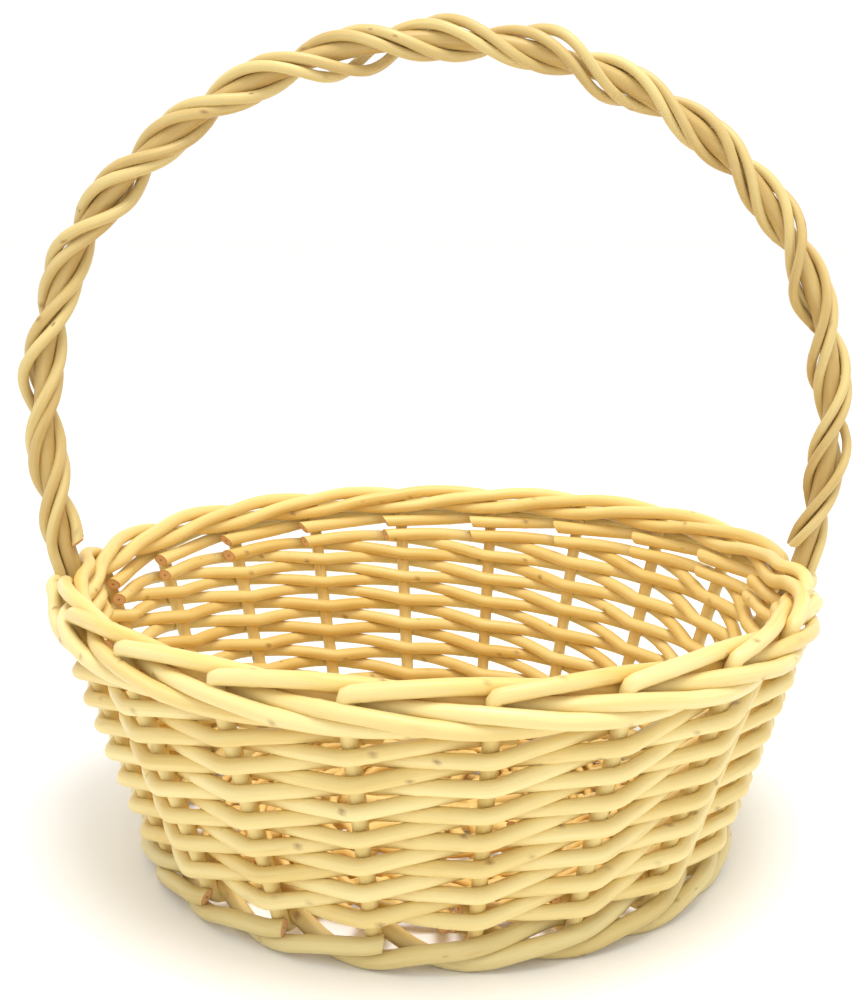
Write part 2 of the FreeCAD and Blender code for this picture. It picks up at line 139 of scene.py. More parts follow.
def uneven(point):
    """Where a point of an even basket lies in this one."""
    at = point / UNEVEN_LENGTH
    wave = Vector([noise.noise(at + shift) for shift in UNEVEN_SHIFTS])
    grown = min(max(point.z / UNEVEN_FROM, 0.0), 1.0)
    return point + Vector((wave.x, wave.y, wave.z * grown)) * UNEVEN


# ---------------------------------------------------------------------- base of the basket

STICK_SPREAD = 2          # five sticks each way, counted -2 to 2
STICK_PITCH = 8.0         # from stick to stick through the middle
STICK_SHORT = 15.4        # a stick ends this far short of the ring of stakes
STICK_REACH = wall(BASE_LEVEL) - STICK_SHORT
STICK_BEND = 2 * STICK
BASE_TURN = 2.0           # the sticks lie turned by this compass angle
BASE_WEAVE_START = 41.0
BASE_WEAVE_END = STICK_REACH - 3.0
BASE_WAVE = (STICK + BASE_WEAVER) / 2 + 2 * GAP
ARM_ROUNDS = 2            # rounds over whole arms, before the sticks are opened out
ARM_WRAP = 4.0            # a weaver turns down this many degrees past an arm's last stick
ARM_WRAP_HEIGHT = 0.82    # and has this share of its height left there
TAIL_START = wall(BASE_LEVEL) - STAKE_TAIL


def stick_path(order, across):
    """A base stick: straight through the middle, then fanned out to its end."""
    fan = math.radians(order * STEP)
    end = Vector((STICK_REACH * math.cos(fan), STICK_REACH * math.sin(fan), 0))
    points = [Vector((-end.x, end.y, 0)), end]
    if order:
        side = order * STICK_PITCH
        knee = side / math.tan(fan)
        points[1:1] = [Vector((-knee, side, 0)), Vector((knee, side, 0))]
    turn = math.radians(BASE_TURN + (90 if across else 0))
    turned = []
    for point in points:
        x = point.x * math.cos(turn) - point.y * math.sin(turn)
        y = point.x * math.sin(turn) + point.y * math.cos(turn)
        turned.append((Vector((x, y, BASE_LEVEL)), STICK_BEND))
    return turned


def base_weaver_path(side):
    """Pairing that spirals out: twice round the four arms, then round every stick."""
    lift = BASE_WEAVER / 2 + GAP
    pitch = 4 * lift
    arm = STICK_SPREAD * STEP
    tail_turn = FIRST_STAKE - BASE_TURN

    def radius(turn):
        return BASE_WEAVE_START + pitch * (turn + arm) / 360

    def at(turn, out, z):
        return place(turn + 90 + BASE_TURN, out, BASE_LEVEL + z)

    def wrap(turn):
        points.append(at(turn, radius(turn), ARM_WRAP_HEIGHT * side * BASE_WAVE))

    points = []
    arms = 4 * ARM_ROUNDS
    for count in range(arms):
        middle = 90 * count
        wrap(middle - arm - ARM_WRAP)
        for order in range(-STICK_SPREAD, STICK_SPREAD + 1):
            turn = middle + order * STEP
            points.append(at(turn, radius(turn), side * BASE_WAVE))
        wrap(middle + arm + ARM_WRAP)
        points.append(at(middle + 45, radius(middle + 45) + side * lift, 0))
        side = -side
    turn = 90 * arms - arm
    while radius(turn) < BASE_WEAVE_END:
        points.append(at(turn, radius(turn), side * BASE_WAVE))
        crossing = turn + STEP / 2
        if radius(turn) > TAIL_START - 2 * BASE_WEAVER:
            tail = turn + tail_turn
            points.append(at(tail, radius(tail), side * BASE_WAVE))
            crossing = (tail + turn + STEP) / 2
        points.append(at(crossing, radius(crossing) + side * lift, 0))
        side = -side
        turn += STEP
    points.pop()
    return points


# ---------------------------------------------------------------------- stakes and border

# how far out a laid stake passes the bow: outside it and its ropes, and inside it
BORDER_SLACK = 0.5
BOW_ROOM = (BOW / 2 + ROPE + STAKE / 2 + 3 * GAP) / math.cos(FLARE) + BORDER_SLACK
INNER_BOW_ROOM = beside(BOW, STAKE) + BORDER_SLACK
STAKE_TIP_PAST = 0.2      # a laid stake ends this share of a step past the last stake

# A stake's top runs behind two stakes, in front of two, and in. It has a side (-1 inside,
# +1 outside, 0 in the ring of stakes) and a level, counted in layers of the border, at
# each stake that it passes and half-way to it. At the bow it is lifted a little.
BORDER_STATIONS = ((-1, 2.65), (-1, 1.5), (1, 1.65), (1, 0.5), (-1, 0.5))
BORDER_CROSSINGS = ((0, 3.05), (-1.05, 2.25), (0, 1.6), (1, 0.95), (0, 0.4))
BOW_LEVEL_LIFTS = (0.12, 0.12, 0.32, 0.0, 0.05)


def border_point(angle, side, level, room):
    """A point of the border, at this room from the ring of stakes."""
    z = BORDER_BASE + level * LEVEL
    return place(angle, wall(z) + side * room, z)


def stake_path(number):
    """A stake: out along the base, up the side, and laid down along the border."""
    angle = stake_angle(number)
    room = beside(STAKE, STAKE)
    tail = place(angle, TAIL_START, BASE_LEVEL)
    bend = place(angle, wall(BASE_LEVEL), BASE_LEVEL)
    kink_z = KINK_LEVEL - KINK_SINK
    kink = place(angle, wall(kink_z), kink_z)
    laid = []
    for passed in range(len(BORDER_STATIONS)):
        ahead = number + passed + 1
        side, level = BORDER_CROSSINGS[passed]
        laid.append(border_point(crossing_angle(ahead), side, level, room))
        side, level = BORDER_STATIONS[passed]
        if ahead % STAKES in BOW_STAKES:
            bow_room = BOW_ROOM if side > 0 else INNER_BOW_ROOM
            bow_level = level + BOW_LEVEL_LIFTS[passed]
            laid.append(border_point(bow_angle(ahead), side, bow_level, bow_room))
        laid.append(border_point(stake_angle(ahead), side, level, room))
    tip = stake_angle(ahead) + STAKE_TIP_PAST * STEP
    laid.append(border_point(tip, side, level, room))
    return [tail, (bend, STAKE_BEND), (kink, KINK_BEND)] + laid


# -------------------------------------------------------------------------- side weaving

ROW_DIP = 1.4             # a weaver passes this far below its row's middle outside
ROW_RISE = 4.6            # and this far above it inside
BUTT_BACK = 0.15          # its butt starts this share of a step before its first stake
BUTT_LIFT = 1.2           # and this far above its first gap, clear of the wale
TIP_PAST = 0.2            # its tip ends this share of a step past its last stake
WEAVER_BEND = 13.0        # a weaver bends over a stake with about this radius
BOW_HUG = 1.0             # it lies this much closer at the bow
ROW_SETTLE = 1.6          # the middle rows sit this much higher than even rows would
ROW_SETTLE_SHIFT = 0.7


def weaver_station(number, side, z):
    """Where a weaver passes a stake, and the bow if it stands beside that stake."""
    radius = wall(z) + side * beside(STAKE, WEAVER)
    places = [(place(stake_angle(number), radius, z), WEAVER_BEND)]
    if number % STAKES in BOW_STAKES:
        radius = wall(z) + side * beside(BOW - BOW_HUG, WEAVER)
        places.insert(0, (place(bow_angle(number), radius, z), WEAVER_BEND))
    return places


def weaver_path(first):
    """A side weaver: in front of one stake and behind the next, one row up with every
    two stakes. Its butt and its tip rest inside the basket."""
    inside = -beside(STAKE, WEAVER)
    z = FIRST_ROW - ROW_LIFT + BUTT_LIFT
    butt = stake_angle(first - 1)
    points = [
        place(butt - BUTT_BACK * STEP, wall(z) + inside, z),
        place(butt, wall(z) + inside, z),
    ]
    for row in range(ROWS):
        height = FIRST_ROW + row * ROW_PITCH
        height += ROW_SETTLE * math.sin(math.pi * (row + ROW_SETTLE_SHIFT) / ROWS)
        front = first + 2 * row
        z = height - ROW_LIFT
        points.append(place(crossing_angle(front), wall(z), z))
        points += weaver_station(front, 1, height - ROW_DIP)
        z = height + ROW_LIFT
        points.append(place(crossing_angle(front + 1), wall(z), z))
        if row < ROWS - 1:
            z = height + ROW_RISE
        points += weaver_station(front + 1, -1, z)
    tip = stake_angle(front + 1) + TIP_PAST * STEP
    points.append(place(tip, wall(z) + inside, z))
    return points


# ------------------------------------------------------------------------------ foot wale

WALE_FIRST_STAKE = 18
WALE_BEFORE = 0.22        # a wale rod starts this share of a step before its first stake
WALE_PAST = 0.12          # and ends this much past its last one
# first and last stake of each rod, counted from the wale's first stake
WALE_SPANS = (
    (0, STAKES + WALE_PAST),
    (1, STAKES + 1 + WALE_PAST),
    (2, STAKES - 1 + WALE_PAST),
)
WALE_LOW = WALE / 2 + GAP
WALE_HIGH = WALE_LOW + WALE + 5 * GAP
WALE_INSIDE = BASE_LEVEL + (STAKE + WALE) / 2 + 4 * GAP
WALE_NESTLE = 0.84        # crossing wale rods lie this share of a thickness apart
WALE_MIDDLE = WALE_LOW + WALE_NESTLE * WALE
WALE_CROSS_HIGH = WALE_MIDDLE + WALE_NESTLE * WALE
SMALL = 1e-6


def wale_place(step, first):
    """A wale rod's place: behind one stake, in front of two, over its neighbours."""
    whole = math.floor(step + SMALL)
    phase = (whole - first) % 3
    out = beside(STAKE, WALE) + GAP
    if step - whole < SMALL:
        side, z = ((-1, WALE_INSIDE), (1, WALE_LOW), (1, WALE_HIGH))[phase]
    else:
        side, z = ((0, WALE_LOW), (1, WALE_MIDDLE), (0, WALE_CROSS_HIGH))[phase]
    return place(stake_angle(WALE_FIRST_STAKE + step), wall(z) + side * out, z)


def wale_path(first, last):
    """A foot wale rod, with a point at every stake and every gap between two."""
    begin = stake_angle(WALE_FIRST_STAKE + first - WALE_BEFORE)
    points = [place(begin, wall(WALE_INSIDE) - beside(STAKE, WALE), WALE_INSIDE)]
    step = float(first)
    while step < last - 0.5:
        points.append(wale_place(step, first))
        step += 0.5
    before, after = wale_place(step, first), wale_place(step + 0.5, first)
    return points + [before, before.lerp(after, (last - step) / 0.5)]


# --------------------------------------------------------------------------------- handle

HANDLE_BULGE = 8.7        # the hoop stands this far past the ring at the border's top
HANDLE_LEG = 10.7         # its slanting legs go on this far above the border's foot
HANDLE_FLATNESS = 11.0    # its top stands this much above its side arcs
BOW_TIP_HEIGHT = WALE_INSIDE + WALE / 2 + 2.0
BOW_CORNERS = 48
HOOP_END = 0.99999        # the last point stays within the last arc


def bow_arcs():
    """The bow's line as arcs: centre, radius, first and last angle from +X."""
    half = wall(KINK_LEVEL) + HANDLE_BULGE
    leg = BORDER_BASE + HANDLE_LEG
    hip = (half - wall(leg)) / (1 - math.cos(FLARE))
    shoulder = leg + hip * math.sin(FLARE)
    rise = high("handle_bow").z - BOW / 2 - shoulder
    side = rise - HANDLE_FLATNESS
    inset = half - side
    drop = (inset * inset - HANDLE_FLATNESS * HANDLE_FLATNESS) / (2 * HANDLE_FLATNESS)
    spread = math.atan2(inset, drop)
    top = math.pi / 2
    right = [
        (Vector((0, 0, shoulder - drop)), rise + drop, top, top - spread),
        (Vector((inset, 0, shoulder)), side, top - spread, 0.0),
        (Vector((half - hip, 0, shoulder)), hip, 0.0, -FLARE),
    ]
    left = []
    for centre, radius, first, last in reversed(right):
        left.append((Vector((-centre.x, 0, centre.z)), radius, math.pi - last, math.pi - first))
    return left + right


ARCS = bow_arcs()
BOW_LENGTH = sum(radius * abs(last - first) for _centre, radius, first, last in ARCS)


def along_bow(distance):
    """Point and outward direction at a distance along the bow's arcs."""
    for centre, radius, first, last in ARCS:
        length = radius * abs(last - first)
        if distance <= length:
            break
        distance -= length
    angle = first + (last - first) * distance / length
    outward = Vector((math.cos(angle), 0, math.sin(angle)))
    return centre + outward * radius, outward


def bow_path():
    """The bow: from its left tip down in the side, over the hoop, to its right tip."""
    whole = HOOP_END * BOW_LENGTH
    hoop = [along_bow(whole * index / BOW_CORNERS)[0] for index in range(BOW_CORNERS + 1)]
    leg = [(wall(z), z) for z in (BOW_TIP_HEIGHT, BORDER_BASE)]
    left = [Vector((-radius, 0, z)) for radius, z in leg]
    right = [Vector((radius, 0, z)) for radius, z in reversed(leg)]
    return left + hoop + right


ROPE_PAIRS = 2
ROPE_CROSSINGS = 16       # times that a pair crosses the front of the handle
ROPE_TURNS = ROPE_CROSSINGS / ROPE_PAIRS
ROPE_CIRCLE = (BOW + ROPE) / 2 + GAP
ROPE_SPLIT = math.radians(24.0)  # each rod of a pair stands this far from its middle
ROPE_CORNERS = 16         # points in a turn
ROPE_CLEAR = 4.0          # the turns start this far above the border's top

# A roping rod's turns are uneven: its turning angle and its distance from the bow drift
# by this much, so many times along the handle.
ROPE_DRIFT = 0.16
ROPE_DRIFTS = 9
ROPE_LIFT = 0.5
ROPE_LIFTS = 14

# Where a roping rod stands off the bow: share of the way along, length and height.
LOOSE = {
    1: ((0.47, 0.04, 4.5), (0.80, 0.04, 3.0)),
    2: ((0.43, 0.03, 3.0), (0.12, 0.04, 2.0)),
    3: ((0.57, 0.04, 3.5), (0.24, 0.04, 2.5)),
    4: ((0.62, 0.03, 2.0), (0.90, 0.04, 3.5)),
}


def rope_path(number):
    """A roping rod, wound round the bow. Where it comes round to the bow's outer side at
    an end of the handle, it goes on down beside the bow."""
    pair, second = divmod(number - 1, 2)
    split = ROPE_SPLIT if second else -ROPE_SPLIT
    start = 2 * math.pi * pair / ROPE_PAIRS + split
    hip_centre, hip, _first, _last = ARCS[0]
    end_height = KINK_LEVEL + STAKE / 2 + ROPE_CLEAR
    margin = hip * (FLARE - math.asin((hip_centre.z - end_height) / hip))
    corners = int(round(ROPE_TURNS * ROPE_CORNERS))
    points = []
    for index in range(corners + 1):
        share = index / corners
        centre, outward = along_bow(margin + (BOW_LENGTH - 2 * margin) * share)
        turn = start + 2 * math.pi * ROPE_TURNS * share
        # each rod takes another stretch of the noise
        turn += ROPE_DRIFT * noise.noise(Vector((share * ROPE_DRIFTS, number * 3.7, 0)))
        out = ROPE_CIRCLE
        out += ROPE_LIFT * noise.noise(Vector((share * ROPE_LIFTS, number * 5.1, 4)))
        for middle, length, lift in LOOSE[number]:
            out += lift * math.exp(-(((share - middle) / length) ** 2))
        aside = outward * math.cos(turn) - Vector((0, 1, 0)) * math.sin(turn)
        points.append(centre + aside * out)
    foot_z = BORDER_BASE + 2 * GAP
    foot = Vector((wall(foot_z), 0, foot_z))
    foot += Vector((math.cos(FLARE), 0, -math.sin(FLARE))) * ROPE_CIRCLE * math.cos(split)
    foot += Vector((0, -ROPE_CIRCLE * math.sin(split), 0))
    if pair == 0:
        points.insert(0, Vector((-foot.x, foot.y, foot.z)))
    if (pair + ROPE_CROSSINGS) % ROPE_PAIRS == 0:
        points.append(foot)
    return points


# ------------------------------------------------------------------------ node helpers


def add_node(tree, kind, inputs=None, **settings):
    """Adds a node, sets its settings, and links or sets its inputs."""
    node = tree.nodes.new(kind)
    for key, value in settings.items():
        setattr(node, key, value)
    for key, value in (inputs or {}).items():
        if isinstance(value, bpy.types.NodeSocket):
            tree.links.new(value, node.inputs[key])
        else:
            node.inputs[key].default_value = value
    return node


def maths(tree, operation, *values):
    """A Math node's output."""
    node = add_node(tree, "ShaderNodeMath", dict(enumerate(values)), operation=operation)
    return node.outputs[0]


def vector_maths(tree, operation, *values):
    """A Vector Math node's output. SCALE takes a vector and a number."""
    slots = (0, 3) if operation == "SCALE" else (0, 1)
    node = add_node(tree, "ShaderNodeVectorMath", dict(zip(slots, values)), operation=operation)
    return node.outputs["Value" if operation in ("DOT_PRODUCT", "LENGTH") else "Vector"]


def ramp(tree, value, low_in, high_in, low_out, high_out):
    """A smooth Map Range node's output."""
    node = add_node(
        tree,
        "ShaderNodeMapRange",
        {"Value": value, 1: low_in, 2: high_in, 3: low_out, 4: high_out},
        interpolation_type="SMOOTHSTEP",
    )
    return node.outputs["Result"]


def open_tree(name, kind, inputs, outputs):
    """A new node group with named sockets, and its input and output nodes."""
    tree = bpy.data.node_groups.new(name, kind)
    for label, socket, value in inputs:
        made = tree.interface.new_socket(label, in_out="INPUT", socket_type=socket)
        if value is not None:
            made.default_value = value
    for label, socket in outputs:
        tree.interface.new_socket(label, in_out="OUTPUT", socket_type=socket)
    return tree, tree.nodes.new("NodeGroupInput").outputs, tree.nodes.new("NodeGroupOutput").inputs


# --------------------------------------------------------------- tree of a willow rod


SWELL_RATE = 22.0         # slow swellings of a rod, per metre
SWELL = 0.13              # and how much they change its thickness
BUD_LENGTH = 0.04         # share of the space between two buds
CUT_REACH = 3.0           # a slanting cut bends the skin back this many radii
RIM_ANGLE = 0.8           # a sharper edge than this is the rim of a cut end
INSIDE_SHADE_DEPTH = (-0.001, 0.004)  # the painted warm shade inside the basket sets in between these depths, in metres
SEED_STEP = 7.31          # moves one rod's pattern well away from the next one's


def willow_rod_tree():
    """Sweeps a round, tapering, slightly uneven rod along a line of points."""
    tree, given, result = open_tree(
        "willow rod",
        "GeometryNodeTree",
        [
            ("Line", "NodeSocketGeometry", None),
            ("Butt Radius", "NodeSocketFloat", 0.003),
            ("Tip Radius", "NodeSocketFloat", 0.0025),
            ("Ring Spacing", "NodeSocketFloat", 0.0022),
            ("Sides", "NodeSocketInt", 16),
            ("Wobble", "NodeSocketFloat", 0.0003),
            ("Wobble Length", "NodeSocketFloat", 0.03),
            ("Bud Spacing", "NodeSocketFloat", 0.034),
            ("Bud Height", "NodeSocketFloat", 0.00015),
            # the share of the painted warm shade inside the basket that this rod takes
            ("Takes Inside Shade", "NodeSocketFloat", 1.0),
            ("Slant", "NodeSocketFloat", 0.5),
            ("Tone", "NodeSocketFloat", 0.0),
            ("Seed", "NodeSocketFloat", 0.0),
            ("Skin", "NodeSocketMaterial", None),
            ("Cut Wood", "NodeSocketMaterial", None),
        ],
        [("Rod", "NodeSocketGeometry")],
    )
    curve = add_node(tree, "GeometryNodeMeshToCurve", {"Mesh": given["Line"]}).outputs["Curve"]
    bend = add_node(
        tree, "GeometryNodeInputNamedAttribute", {"Name": "bend"}, data_type="FLOAT"
    ).outputs["Attribute"]
    curve = add_node(
        tree,
        "GeometryNodeFilletCurve",
        {"Curve": curve, "Count": 10, "Radius": bend, "Limit Radius": True},
        mode="POLY",
    ).outputs["Curve"]
    curve = add_node(
        tree,
        "GeometryNodeResampleCurve",
        {"Curve": curve, "Length": given["Ring Spacing"]},
        mode="LENGTH",
    ).outputs["Curve"]

    # a slow wobble of the path
    position = add_node(tree, "GeometryNodeInputPosition").outputs[0]
    per_wobble = maths(tree, "DIVIDE", 1.0, given["Wobble Length"])
    scaled = vector_maths(tree, "SCALE", position, per_wobble)
    wave = add_node(
        tree,
        "ShaderNodeTexNoise",
        {"Vector": scaled, "W": given["Seed"], "Scale": 1.0, "Detail": 1.0},
        noise_dimensions="4D",
    ).outputs["Color"]
    wave = vector_maths(tree, "SUBTRACT", wave, (0.5, 0.5, 0.5))
    offset = vector_maths(tree, "SCALE", wave, maths(tree, "MULTIPLY", given["Wobble"], 2.0))
    curve = add_node(
        tree, "GeometryNodeSetPosition", {"Geometry": curve, "Offset": offset}
    ).outputs["Geometry"]

    # thickness: taper from butt to tip, slow swelling, and a little more at each bud
    spline = add_node(tree, "GeometryNodeSplineParameter").outputs
    along = spline["Length"]
    taper = add_node(
        tree,
        "ShaderNodeMapRange",
        {"Value": spline["Factor"], 3: given["Butt Radius"], 4: given["Tip Radius"]},
    ).outputs["Result"]
    seed_shift = maths(tree, "MULTIPLY", given["Seed"], SEED_STEP)
    swell_place = maths(tree, "MULTIPLY_ADD", along, SWELL_RATE, seed_shift)
    swell = add_node(
        tree,
        "ShaderNodeTexNoise",
        {"W": swell_place, "Scale": 1.0, "Detail": 1.0},
        noise_dimensions="1D",
    ).outputs[0]
    swell = maths(tree, "MULTIPLY_ADD", maths(tree, "SUBTRACT", swell, 0.5), SWELL, 1.0)
    bud_place = maths(tree, "ADD", maths(tree, "DIVIDE", along, given["Bud Spacing"]), seed_shift)
    bud_cell = add_node(
        tree,
        "ShaderNodeTexVoronoi",
        {"W": bud_place, "Scale": 1.0, "Randomness": 0.8},
        voronoi_dimensions="1D",
        feature="F1",
    ).outputs
    bud = ramp(tree, bud_cell["Distance"], 0.0, BUD_LENGTH, 1.0, 0.0)
    bud_turn = maths(tree, "MULTIPLY", vector_maths(tree, "LENGTH", bud_cell["Color"]), 9.0)
    radius = maths(tree, "MULTIPLY", taper, swell)
    radius = maths(tree, "MULTIPLY_ADD", bud, given["Bud Height"], radius)

    # what each point of the skin remembers of the path
    memory = add_node(tree, "GeometryNodeCaptureAttribute", {"Geometry": curve})
    for kind, label, value in (
        ("VECTOR", "Centre", add_node(tree, "GeometryNodeInputPosition").outputs[0]),
        ("VECTOR", "Tangent", add_node(tree, "GeometryNodeInputTangent").outputs[0]),
        ("FLOAT", "Along", along),
        ("FLOAT", "Bud", bud),
        ("FLOAT", "Bud Turn", bud_turn),
        ("FLOAT", "Radius", radius),
        ("FLOAT", "Whole", add_node(tree, "GeometryNodeSplineLength").outputs["Length"]),
    ):
        memory.capture_items.new(kind, label)
        tree.links.new(value, memory.inputs[label])
    circle = add_node(
        tree, "GeometryNodeCurvePrimitiveCircle", {"Resolution": given["Sides"], "Radius": 1.0}
    ).outputs["Curve"]
    spokes = add_node(tree, "GeometryNodeCaptureAttribute", {"Geometry": circle})
    spokes.capture_items.new("VECTOR", "Spoke")
    tree.links.new(add_node(tree, "GeometryNodeInputPosition").outputs[0], spokes.inputs["Spoke"])
    skin = add_node(
        tree,
        "GeometryNodeCurveToMesh",
        {
            "Curve": memory.outputs["Geometry"],
            "Profile Curve": spokes.outputs["Geometry"],
            "Scale": memory.outputs["Radius"],
            "Fill Caps": True,
        },
    ).outputs["Mesh"]

    # both ends are cut at a slant
    spoke = spokes.outputs["Spoke"]
    spoke_x = add_node(tree, "ShaderNodeSeparateXYZ", {"Vector": spoke}).outputs["X"]
    far = maths(tree, "SUBTRACT", memory.outputs["Whole"], memory.outputs["Along"])
    nearest = maths(tree, "MINIMUM", memory.outputs["Along"], far)
    reach = maths(tree, "MULTIPLY", memory.outputs["Radius"], CUT_REACH)
    slope = ramp(tree, nearest, 0.0, reach, 1.0, 0.0)
    slope = maths(tree, "MULTIPLY", slope, given["Slant"])
    across = maths(tree, "MULTIPLY", spoke_x, memory.outputs["Radius"])
    slope = maths(tree, "MULTIPLY", slope, across)
    pull = vector_maths(tree, "SCALE", memory.outputs["Tangent"], slope)
    skin = add_node(
        tree, "GeometryNodeSetPosition", {"Geometry": skin, "Offset": pull}
    ).outputs["Geometry"]

    # a bud's scar lies on one side of the rod only
    bud_way = add_node(
        tree,
        "ShaderNodeCombineXYZ",
        {
            "X": maths(tree, "COSINE", memory.outputs["Bud Turn"]),
            "Y": maths(tree, "SINE", memory.outputs["Bud Turn"]),
        },
    ).outputs["Vector"]
    bud_facing = vector_maths(tree, "DOT_PRODUCT", spoke, bud_way)
    bud_side = ramp(tree, bud_facing, 0.90, 1.0, 0.0, 1.0)
    bud_scar = maths(tree, "MULTIPLY", memory.outputs["Bud"], bud_side)

    # how far a point of the skin lies inside the ring of stakes: there it takes a painted warm
    # shade, standing in for light bounced between the rods
    skin_place = add_node(tree, "GeometryNodeInputPosition").outputs[0]
    skin_height = add_node(tree, "ShaderNodeSeparateXYZ", {"Vector": skin_place}).outputs["Z"]
    skin_level = vector_maths(tree, "MULTIPLY", skin_place, (1.0, 1.0, 0.0))
    skin_out = vector_maths(tree, "LENGTH", skin_level)
    ring = maths(tree, "MULTIPLY_ADD", skin_height, math.tan(FLARE), RING * MM)
    inner = ramp(tree, maths(tree, "SUBTRACT", ring, skin_out), *INSIDE_SHADE_DEPTH, 0.0, 1.0)
    inner = maths(tree, "MULTIPLY", inner, given["Takes Inside Shade"])

    # the pattern's own coordinates: round the rod, and along it
    grain = vector_maths(tree, "SCALE", spoke, memory.outputs["Radius"])
    grain_parts = add_node(tree, "ShaderNodeSeparateXYZ", {"Vector": grain}).outputs
    grain = add_node(
        tree,
        "ShaderNodeCombineXYZ",
        {"X": grain_parts["X"], "Y": grain_parts["Y"], "Z": memory.outputs["Along"]},
    ).outputs["Vector"]
    for kind, label, value in (
        ("FLOAT_VECTOR", "grain", grain),
        ("FLOAT_VECTOR", "spoke", spoke),
        ("FLOAT", "bud", bud_scar),
        ("FLOAT", "inner", inner),
        ("FLOAT", "tone", given["Tone"]),
        ("FLOAT", "lot", given["Seed"]),
    ):
        skin = add_node(
            tree,
            "GeometryNodeStoreNamedAttribute",
            {"Geometry": skin, "Name": label, "Value": value},
            data_type=kind,
            domain="POINT",
        ).outputs["Geometry"]

    # the two ends are the only faces with more than four corners, and have a sharp rim
    corners = add_node(tree, "GeometryNodeInputMeshFaceNeighbors").outputs["Vertex Count"]
    is_end = add_node(
        tree,
        "FunctionNodeCompare",
        {2: corners, 3: 4},
        data_type="INT",
        operation="GREATER_THAN",
    ).outputs["Result"]
    edge_angle = add_node(tree, "GeometryNodeInputMeshEdgeAngle").outputs["Unsigned Angle"]
    is_rim = add_node(
        tree,
        "FunctionNodeCompare",
        {0: edge_angle, 1: RIM_ANGLE},
        data_type="FLOAT",
        operation="GREATER_THAN",
    ).outputs["Result"]
    skin = add_node(
        tree, "GeometryNodeSetShadeSmooth", {"Geometry": skin, "Shade Smooth": True}, domain="FACE"
    ).outputs["Geometry"]
    skin = add_node(
        tree,
        "GeometryNodeSetShadeSmooth",
        {"Geometry": skin, "Selection": is_rim, "Shade Smooth": False},
        domain="EDGE",
    ).outputs["Geometry"]
    skin = add_node(tree, "GeometryNodeRealizeInstances", {"Geometry": skin}).outputs["Geometry"]
    skin = add_node(
        tree, "GeometryNodeSetMaterial", {"Geometry": skin, "Material": given["Skin"]}
    ).outputs["Geometry"]
    skin = add_node(
        tree,
        "GeometryNodeSetMaterial",
        {"Geometry": skin, "Selection": is_end, "Material": given["Cut Wood"]},
    ).outputs["Geometry"]
    tree.links.new(skin, result["Rod"])
    return tree


# ---------------------------------------------------------------------------- materials


PALE = (0.84, 0.70, 0.33)
STRAW = (0.72, 0.53, 0.18)
TAN = (0.48, 0.25, 0.07)
SPECK_BROWN = (0.20, 0.085, 0.03, 1)
INSIDE_BOUNCE_SHADE = (1.04, 0.93, 0.72, 1)  # painted shade: wood inside the basket is darkened and warmed by this, standing in for light bounced between the rods

# How often each pattern of the skin changes across a rod and along it, per metre, its
# detail, and a shift that keeps the patterns apart.
FIBRES = (1500.0, 28.0, 3.0, 0.0)
STREAKS = (420.0, 14.0, 2.0, 11.0)
BLOTCHES = (120.0, 24.0, 2.0, 23.0)
STAINS = (260.0, 40.0, 2.0, 37.0)
SPECK_CELLS = (240.0, 240.0, 95.0)
SPECK_STEP = 3.3

# How far each pattern moves the colour from pale to straw, and where it starts.
TINT_START = 0.42
STREAK_TINT = 1.1
FIBRE_TINT = 0.45
BLOTCH_TINT = 2.0
TONE_TINT = 0.35


def attribute(tree, name, output):
    """What the skin remembers under this name."""
    return add_node(tree, "ShaderNodeAttribute", attribute_name=name).outputs[output]


def mix_colour(tree, factor, first, second, blend="MIX"):
    """The Result colour of a Mix node."""
    inputs = {0: factor, 6: first, 7: second}
    node = add_node(tree, "ShaderNodeMix", inputs, data_type="RGBA", blend_type=blend)
    return node.outputs[2]


